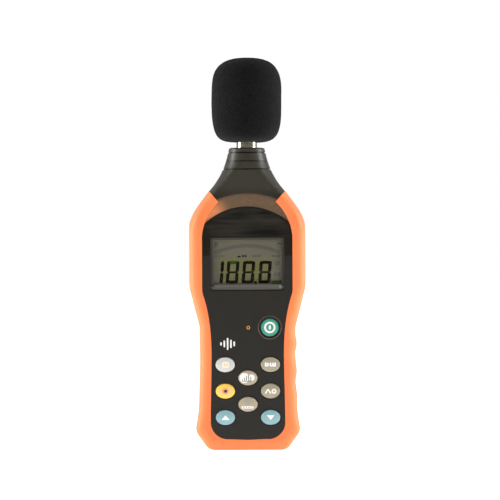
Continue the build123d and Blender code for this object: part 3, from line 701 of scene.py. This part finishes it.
def hold_key(plastic, inks):
    """Cream patch with two pink strokes."""
    hold = key("hold_key", plastic)
    strokes = [oval(x * MM, 0, 0.5 * MM, 1.2 * MM) for x in (-0.6, 1.4)]
    hold.print_shape("mark", [bar(0.3 * MM, 0, 5.6 * MM, 4.8 * MM, 1.2 * MM)], inks["cream"])
    hold.print_shape("ends", strokes, inks["pink"], SECOND_INK)


def backlight_key(plastic, inks):
    """Glowing spot."""
    light = key("backlight_key", plastic)
    light.print_shape("glow", [oval(0.4 * MM, 0, 4.6 * MM, 3.4 * MM)], inks["peach"])
    light.print_shape("ring", [oval(0, 0, 2.6 * MM, 2.4 * MM)], inks["orange"], SECOND_INK)
    light.print_shape("dot", [oval(0.2 * MM, 0, 1.25 * MM, 1.15 * MM)], inks["blue"], THIRD_INK)


def arrow_key(node, way, plastic, inks):
    """Arrow up, or down where way is -1."""
    half, foot, tip = 3.1 * MM, -1.75 * MM * way, 1.95 * MM * way
    key(node, plastic).print_shape("arrow", [[(-half, foot), (half, foot), (0, tip)]], inks["white"])


def level_key(plastic, inks):
    """White plate with a bar scale on it."""
    foot = -2.2 * MM
    columns = ((-4.0, 1.4), (-2.5, 2.4), (-1.0, 3.8), (0.6, 4.6), (2.2, 3.0))
    plate = [bar(-2.5 * MM, 0, 7.6 * MM, 7.4 * MM, 2.2 * MM),
             bar(2.6 * MM, 0.3 * MM, 4.8 * MM, 4.6 * MM, 1.2 * MM)]
    scale = [bar(x * MM, foot + height * MM / 2, 0.55 * MM, height * MM, 0.1 * MM)
             for x, height in columns]
    baseline = bar(-1.0 * MM, -2.6 * MM, 7.0 * MM, 0.45 * MM, 0.1 * MM)
    level = key("level_key", plastic)
    level.print_shape("plate", plate, inks["white"])
    level.print_shape("scale", scale + [baseline], inks["dark"], SECOND_INK)


def response_key(plastic, inks):
    """Knob over a line of dashes."""
    dashes = [bar(x * MM, -2.4 * MM, 0.9 * MM, 0.45 * MM, 0.1 * MM) for x in (-3.2, -1.2, 0.8, 2.8)]
    response = key("response_key", plastic)
    response.print_shape("knob", [oval(0, 1.5 * MM, 2.0 * MM, 1.7 * MM)], inks["grey"])
    response.print_shape("line", [bar(-0.4 * MM, -2.3 * MM, 9.2 * MM, 1.7 * MM, 0.5 * MM)],
                         inks["white"])
    response.print_shape("dashes", dashes, inks["dark"], SECOND_INK)


def max_min_key(plastic, inks):
    """Two blocks of upright bars."""
    columns = ((-3.6, 3.4), (-1.9, 2.6), (0.0, 3.0), (1.9, 2.6), (3.6, 3.2))
    mark = [bar(x * MM, 0.1 * MM, 1.35 * MM, height * MM, 0.3 * MM) for x, height in columns]
    mark += [bar(x * MM, -1.0 * MM, width * MM, 1.0 * MM, 0.2 * MM)
             for x, width in ((-2.7, 2.6), (1.8, 3.6))]
    key("max_min_key", plastic).print_shape("mark", mark, inks["white"])


def weighting_key(plastic, inks):
    """Peak beside a ring with a dot."""
    ring_x, ring_z = 2.6 * MM, -0.2 * MM
    curve = [bar(x * MM, ring_z, 1.2 * MM, 3.4 * MM, 0.2 * MM, slant)
             for x, slant in ((-2.9, 0.5), (-0.9, -0.5))]
    curve += band(ring_x, ring_z, 0.9 * MM, 1.9 * MM)
    weighting = key("weighting_key", plastic)
    weighting.print_shape("curve", curve, inks["white"])
    weighting.print_shape("dot", [oval(ring_x, ring_z, 0.75 * MM, 0.75 * MM)], inks["orange"])


def keys():
    """Eight keys and their prints."""
    inks = key_inks()
    beige = moulded("beige_key", (0.40, 0.345, 0.235), 0.38)
    grey = moulded("grey_key", (0.345, 0.305, 0.215), 0.38)
    blue = moulded("blue_key", (0.245, 0.425, 0.455), 0.36)
    white = moulded("white_key", (0.58, 0.57, 0.545), 0.34)
    yellow = moulded("yellow_key", (0.97, 0.60, 0.095), 0.36)
    hold_key(white, inks)
    backlight_key(yellow, inks)
    arrow_key("up_key", 1, blue, inks)
    arrow_key("down_key", -1, blue, inks)
    level_key(beige, inks)
    response_key(beige, inks)
    max_min_key(grey, inks)
    weighting_key(grey, inks)


# ---- power button and light ----
BUTTON_RIM, BUTTON_ROUND, BUTTON_CROWN = 1.9 * MM, 0.7 * MM, 0.25 * MM
DISC_R = 3.0 * MM
SYMBOL_INNER_R, SYMBOL_OUTER_R = 2.85 * MM, 4.35 * MM
DROP_INK = 0.06 * MM                     # height of the middle stroke above the top


def power_button():
    """Round green button: a cream ring about a teal disc with one white stroke."""
    green = moulded("power_green", (0.035, 0.285, 0.215), 0.36)
    teal_ink = printed("teal_ink", (0.03, 0.27, 0.27))
    cream = printed("power_cream", (0.86, 0.77, 0.60))
    white = printed("power_white", (0.86, 0.86, 0.82))
    dome = Dome("power_button", BUTTON_RIM, BUTTON_ROUND, BUTTON_CROWN)
    dome.piece(green)
    dome.print_shape("disc", [oval(0, 0, DISC_R, DISC_R)], teal_ink)
    dome.print_shape("ring", band(0, 0, SYMBOL_INNER_R, SYMBOL_OUTER_R), cream, SECOND_INK)
    dome.print_shape("drop", [oval(0, 0, 0.85 * MM, 1.75 * MM)], white, DROP_INK)


LIGHT_RING_R, LIGHT_RING_THICK = 1.12 * MM, 0.25 * MM
LIGHT_SIDES, RING_SIDES, RING_TUBE_SIDES = 48, 64, 16
LENS_PROFILE = ((1.2, 0.6), (1.2, 0.0), (0.8, -0.1), (0.3, -0.16))      # radius and depth, in mm


def light_ring(middle, finish):
    """Round-section ring on the panel."""
    rings = []
    for angle in turns(RING_SIDES):
        ring = []
        for turn in turns(RING_TUBE_SIDES):
            reach = LIGHT_RING_R + LIGHT_RING_THICK * math.cos(turn)
            ring.append(Vector((middle.x + reach * math.cos(angle),
                                PANEL_Y - LIGHT_RING_THICK * math.sin(turn),
                                middle.z + reach * math.sin(angle))))
        rings.append(ring)
    mesh_piece("led_ring", *ring_surface(rings, loop=True), finish, CASE)


def indicator_light():
    """Amber ring round a dark lens."""
    middle = centre("indicator_led")
    amber = printed("amber_ring", (0.80, 0.36, 0.06), 0.3)
    dark = moulded("lens_dark", (0.05, 0.018, 0.01), 0.15, grain=0.001 * MM)
    light_ring(middle, amber)
    rings = [[Vector((middle.x + reach * MM * math.cos(angle), PANEL_Y + depth * MM,
                      middle.z + reach * MM * math.sin(angle))) for angle in turns(LIGHT_SIDES)]
             for reach, depth in LENS_PROFILE]
    lens = mesh_piece("led_lens", *ring_surface(rings), dark, CASE)
    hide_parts("indicator_led")


# ---- display ----
DISPLAY_INK_Y = GLASS_LOW.y - 0.02 * MM
DIGIT_LOW, DIGIT_HIGH = 126.3 * MM, 143.6 * MM
DIGIT_WIDE = 9.3 * MM
STROKE = 2.5 * MM
SEGMENT_GAP = 0.3 * MM
LEAN = 0.085
ONE_X = -21.3 * MM                       # left edge of the leading one's stroke
DIGIT_XS = (-16.6 * MM, -4.6 * MM, 8.0 * MM)
POINT_X = 6.1 * MM
SIDES = ("low_left", "low_right", "high_left", "high_right")
EIGHT = ("low", "middle", "high") + SIDES
MARK_ROW_Z = 147.2 * MM


def digit(x, segments):
    """Seven-segment figure whose lower left corner is at x, as outlines."""
    half = (DIGIT_HIGH - DIGIT_LOW) / 2
    left, right = STROKE / 2, DIGIT_WIDE - STROKE / 2
    places = {
        "low": (DIGIT_WIDE / 2, STROKE / 2),
        "middle": (DIGIT_WIDE / 2, half),
        "high": (DIGIT_WIDE / 2, 2 * half - STROKE / 2),
        "low_left": (left, half / 2),
        "low_right": (right, half / 2),
        "high_left": (left, half * 1.5),
        "high_right": (right, half * 1.5),
    }
    outlines = []
    for segment in segments:
        px, pz = places[segment]
        if segment in SIDES:
            shape = bar(px, pz, STROKE, half - SEGMENT_GAP, STROKE * 0.4)
        else:
            stroke = STROKE * (0.6 if segment == "middle" else 0.95)
            shape = bar(px, pz, DIGIT_WIDE - STROKE - SEGMENT_GAP, stroke, stroke * 0.4)
        outlines.append([(x + sx + LEAN * sz, DIGIT_LOW + sz) for sx, sz in shape])
    return outlines


def display_digits(dark):
    """Test figures, with one stroke and a bar that look green."""
    green = printed("display_green", (0.024, 0.070, 0.010), 0.5)
    green.set(Specular_IOR_Level=0.1)
    first, second, third = DIGIT_XS
    outlines = digit(ONE_X - DIGIT_WIDE + STROKE, ("low_right", "high_right"))
    outlines += digit(first, ("low", "middle") + SIDES) + digit(second, EIGHT) + digit(third, EIGHT)
    outlines.append(bar(POINT_X, DIGIT_LOW + 1.0 * MM, 2.1 * MM, 2.1 * MM, 0.3 * MM))
    flat_print("display_digits", outlines, DISPLAY_INK_Y, dark)
    green_bar = bar(22.3 * MM, 127.4 * MM, 8.8 * MM, 2.4 * MM, 0.2 * MM)
    flat_print("display_green_parts", digit(first, ("high",)) + [green_bar], DISPLAY_INK_Y, green)


def small_marks(places):
    """Row of small upright marks that stand for the words on the display; places in mm."""
    return [bar(x * MM, MARK_ROW_Z, 1.2 * MM, 1.7 * MM, 0.2 * MM) for x in places]


def display_marks(dark):
    """Bar-graph arc, and the small marks that stand for words and symbols."""
    faint = printed("display_faint", (0.095, 0.090, 0.066), 0.5)
    weak = printed("display_weak", (0.058, 0.064, 0.056), 0.5)
    arc_z, arc_inner, arc_outer, arc_half_angle = 95.0 * MM, 58.6 * MM, 61.4 * MM, 24
    arc = band(0, arc_z, arc_inner, arc_outer, 90 - arc_half_angle, 90 + arc_half_angle, 36)
    flat_print("display_arc", arc, DISPLAY_INK_Y, faint)
    dash = bar(-6.2 * MM, MARK_ROW_Z - 0.4 * MM, 2.6 * MM, 1.0 * MM, 0.2 * MM)
    flat_print("display_marks", [dash] + small_marks((-3.2, -1.2)), DISPLAY_INK_Y, dark)
    weak_shapes = small_marks((4.4, 6.1, 7.8, 9.5, 19.2, 21.0, 22.8, 24.6))
    weak_shapes += band(22.8 * MM, 141.7 * MM, 0.8 * MM, 1.6 * MM)
    weak_shapes += band(21.6 * MM, 133.3 * MM, 0.5 * MM, 1.3 * MM)
    weak_shapes.append(bar(24.0 * MM, 133.3 * MM, 1.8 * MM, 3.0 * MM, 0.5 * MM))
    weak_shapes.append(bar(24.5 * MM, 156.6 * MM, 3.0 * MM, 1.1 * MM, 0.3 * MM))
    flat_print("display_weak_marks", weak_shapes, DISPLAY_INK_Y, weak)
    corner_mark = bar(-23.6 * MM, 156 * MM, 3.0 * MM, 3.4 * MM, 0.3 * MM)
    faint_shapes = small_marks((-24.2, -22.2, -20.2, -18.2)) + [corner_mark]
    flat_print("display_faint_marks", faint_shapes, DISPLAY_INK_Y, faint)


def display():
    dark = printed("display_dark", (0.003, 0.004, 0.003), 0.6)
    dark.set(Specular_IOR_Level=0.1)
    display_digits(dark)
    display_marks(dark)


# ---- print and painted light on the window, print on the panel ----
WINDOW_ROUND = 2.4 * MM
BORDER, BORDER_ROUND = 1.5 * MM, 0.6 * MM
LIT_STRIP_TOP = 3.7 * MM                     # top edge of the grey strip of painted light, above the window's foot
# width of the tan painted highlight round the window's foot
TAN_HIGHLIGHT = 0.5 * MM
WINDOW_LAYER = 0.03 * MM                   # each layer of print and painted light above the one below


# flat ink for the window's print and for its painted light
def window_ink_and_light(name, colour, roughness=0.5):
    return printed(name, colour, roughness).set(Specular_IOR_Level=0.15)


def window_print_and_light():
    """Print and painted light on the window: a printed dim border, a grey strip below that is
    painted light on the well's lower bevel with a painted highlight at its right end, and a tan
    painted highlight round the foot.
    """
    lit_strip_paint = window_ink_and_light("window_lit_strip", (0.105, 0.100, 0.090))
    end_highlight_paint = window_ink_and_light("window_strip_highlight", (0.20, 0.195, 0.18))
    border_ink = window_ink_and_light("window_border", (0.052, 0.047, 0.036))
    tan_highlight_paint = window_ink_and_light("window_edge_highlight", (0.19, 0.125, 0.075), 0.45)
    first_y, second_y = WINDOW_LOW.y - WINDOW_LAYER, WINDOW_LOW.y - 2 * WINDOW_LAYER
    foot = WINDOW_LOW.z + LIT_STRIP_TOP
    border = frame_band((WINDOW_LOW.x + BORDER, foot),
                        (WINDOW_HIGH.x - BORDER, WINDOW_HIGH.z - BORDER),
                        BORDER_ROUND, BORDER, WINDOW_ROUND)
    upper = [shape for shape in border if max(z for _, z in shape) > foot]
    flat_print("window_border", upper, first_y, border_ink)
    # painted light: grey strip where the well's lower bevel catches light
    strip = bar(0.0, WINDOW_LOW.z + LIT_STRIP_TOP / 2 + 0.2 * MM,
                WINDOW_HIGH.x - WINDOW_LOW.x - 1.2 * MM, LIT_STRIP_TOP - 0.2 * MM, 1.4 * MM)
    flat_print("window_lit_strip", [strip], first_y, lit_strip_paint)
    # painted highlight at the strip's right end
    end = oval(WINDOW_HIGH.x - 2.6 * MM, WINDOW_LOW.z + LIT_STRIP_TOP / 2 + 0.3 * MM, 1.2 * MM, 1.3 * MM)
    flat_print("window_strip_highlight", [end], second_y, end_highlight_paint)
    # painted highlight: tan line round the window's foot, on the lower rim
    line = frame_band((WINDOW_LOW.x + TAN_HIGHLIGHT, WINDOW_LOW.z + TAN_HIGHLIGHT),
                      (WINDOW_HIGH.x - TAN_HIGHLIGHT, WINDOW_HIGH.z - TAN_HIGHLIGHT),
                      WINDOW_ROUND - TAN_HIGHLIGHT, TAN_HIGHLIGHT, WINDOW_ROUND)
    lower = [shape for shape in line if max(z for _, z in shape) < foot + 1 * MM]
    flat_print("window_tan_highlight", lower, second_y, tan_highlight_paint)


MARK_X, MARK_Z, MARK_STEP = -20.2 * MM, 80.8 * MM, 2.5 * MM
MARK_HEIGHTS = (2.6 * MM, 5.4 * MM, 9.2 * MM, 6.6 * MM, 3.8 * MM)


def sound_mark():
    """Generic mark on the panel: a short row of rising and falling bars."""
    outlines = [bar(MARK_X + MARK_STEP * index, MARK_Z, 1.25 * MM, height, 0.5 * MM)
                for index, height in enumerate(MARK_HEIGHTS)]
    flat_print("panel_mark", outlines, PANEL_Y, printed("panel_ink", (0.80, 0.80, 0.77)))


# ---- finishes of the CAD nodes ----
def paint(node, finish):
    """Gives a CAD node that finish all over."""
    mesh = NODES[node].data
    mesh.materials.clear()
    mesh.materials.append(finish.material)


def paint_nodes():
    steel = plated_metal("screw_steel", (0.50, 0.49, 0.47), 0.32)
    brass = plated_metal("brass_thread", (0.72, 0.50, 0.20), 0.3)
    tin = plated_metal("tin_plate", (0.62, 0.62, 0.60), 0.28)
    chips = moulded("chip_plastic", (0.018, 0.018, 0.019), 0.5)
    groups = (
        (front_plastic(), ("front_case",)),
        (case_plastic("case_rear"), ("rear_case", "battery_door", "lcd_frame")),
        (ring_plastic(), ("power_ring",)),
        (grip_rubber(), ("front_grip", "rear_grip")),
        (steel, ("case_screws", "board_screws", "battery_door_screw", "battery_springs")),
        (brass, ("door_insert", "tripod_insert")),
        (tin, ("shield_can", "quartz_crystal", "battery_contacts", "capacitors")),
        (polished_metal(), ("mic_sleeve", "mic_grid", "mic_backplate", "mic_diaphragm")),
        (circuit_board(), ("main_board", "mic_preamp_board")),
        (chips, ("processor", "level_converter", "mic_header", "mic_insulator", "output_socket",
                 "zebra_strip", "carbon_pills")),
        (moulded("mat_silicone", (0.45, 0.45, 0.43), 0.6), ("keypad_mat",)),
        (moulded("light_guide", (0.7, 0.7, 0.66), 0.3), ("backlight_panel",)),
        (clear_plate(), ("lcd_window",)),
        (display_back(), ("lcd_glass",)),
        (cell_jacket(), ("battery_cells",)),
    )
    for finish, nodes in groups:
        for node in nodes:
            paint(node, finish)


# ---- studio ----
FRONT_BOX, FRONT_SIZE, FRONT_POWER = (0.9, -0.75, 0.35), (0.5, 1.1), 3.8
SIDE_BOX, SIDE_SIZE, SIDE_POWER = (1.0, 0.03, 0.25), (0.4, 1.0), 13.0
OVERHEAD, OVERHEAD_SPREAD = 0.5, 70
ROOM_FRONT, ROOM_SIDE = 0.08, 0.36       # brightness that the meter reflects
FLOOR_GLOW = 0.72
FLOOR_REACH = 12.0


def area_light(name, place, size, power):
    """Oblong soft light aimed at the meter's middle."""
    lamp = bpy.data.lights.new(name, "AREA")
    lamp.shape = "RECTANGLE"
    lamp.size, lamp.size_y = size
    lamp.energy = power
    holder = new_object(name, lamp)
    holder.location = place
    holder.rotation_euler = (MIDDLE - Vector(place)).to_track_quat("-Z", "Y").to_euler()
    return holder


def lights():
    """A soft box in front and one beside, on both sides, and a weak light from above."""
    for way in (-1, 1):
        front_x, front_y, front_z = FRONT_BOX
        side_x, side_y, side_z = SIDE_BOX
        soft = area_light("front_box", (way * front_x, front_y, front_z), FRONT_SIZE, FRONT_POWER)
        soft.visible_glossy = False
        area_light("side_box", (way * side_x, side_y, side_z), SIDE_SIZE, SIDE_POWER)
    overhead = bpy.data.lights.new("overhead", "SUN")
    overhead.energy = OVERHEAD
    overhead.angle = math.radians(OVERHEAD_SPREAD)
    new_object("overhead", overhead)


def paper_floor():
    """Plain white floor that glows a little, so that it stays white."""
    mesh = bpy.data.meshes.new("floor")
    corners = [(-FLOOR_REACH, -FLOOR_REACH, 0), (FLOOR_REACH, -FLOOR_REACH, 0),
               (FLOOR_REACH, FLOOR_REACH, 0), (-FLOOR_REACH, FLOOR_REACH, 0)]
    mesh.from_pydata(corners, [], [(0, 1, 2, 3)])
    paper = Finish("paper_floor", (0.96, 0.96, 0.955), 0.9)
    paper.mottle(paper.noise(3, 2), 0.01)
    paper.set(Specular_IOR_Level=0.0, Emission_Color=(1, 1, 1, 1), Emission_Strength=FLOOR_GLOW)
    mesh.materials.append(paper.material)
    floor = new_object("floor", mesh)


def soft_room():
    """White backdrop for the camera; what lights the meter is dimmer in front than at the sides."""
    room = bpy.data.worlds.new("soft_room")
    room.use_nodes = True
    nodes, links = room.node_tree.nodes, room.node_tree.links
    split = nodes.new("ShaderNodeSeparateXYZ")
    links.new(nodes.new("ShaderNodeTexCoord").outputs["Generated"], split.inputs["Vector"])
    level = nodes.new("ShaderNodeMapRange")
    level.interpolation_type = "SMOOTHSTEP"
    level.inputs["From Min"].default_value = -1.0
    level.inputs["From Max"].default_value = 0.3
    level.inputs["To Min"].default_value = ROOM_FRONT
    level.inputs["To Max"].default_value = ROOM_SIDE
    links.new(split.outputs["Y"], level.inputs["Value"])
    dim = nodes["Background"]
    dim.inputs["Color"].default_value = (1, 1, 1, 1)
    links.new(level.outputs["Result"], dim.inputs["Strength"])
    white = nodes.new("ShaderNodeBackground")
    white.inputs["Color"].default_value = (1, 1, 1, 1)
    either = nodes.new("ShaderNodeMixShader")
    links.new(nodes.new("ShaderNodeLightPath").outputs["Is Camera Ray"], either.inputs["Fac"])
    links.new(dim.outputs["Background"], either.inputs[1])
    links.new(white.outputs["Background"], either.inputs[2])
    links.new(either.outputs["Shader"], nodes["World Output"].inputs["Surface"])
    return room


def studio():
    """Pale floor, soft lights and white surroundings."""
    bpy.context.scene.view_settings.view_transform = "Standard"
    bpy.context.scene.world = soft_room()
    paper_floor()
    lights()


LENS, SENSOR = 230.0, 36.0               # in mm, as a camera states them
WIDTH_SEEN = 380.0 * MM                  # across the picture, at the meter
CAMERA_X, CAMERA_Z = 2.1 * MM, 151.8 * MM
CAMERA_ROLL = 0.29                       # degrees


def camera():
    """Straight in front, level with the meter's middle, on a long lens."""
    data = bpy.data.cameras.new("camera")
    data.lens, data.sensor_width = LENS, SENSOR
    holder = new_object("camera", data)
    holder.location = (CAMERA_X, PANEL_Y / 2 - WIDTH_SEEN * LENS / SENSOR, CAMERA_Z)
    holder.rotation_euler = (math.radians(90), math.radians(CAMERA_ROLL), 0)
    bpy.context.scene.camera = holder


camera()
studio()
paint_nodes()
windscreen()
keys()
power_button()
indicator_light()
display()
window_print_and_light()
sound_mark()
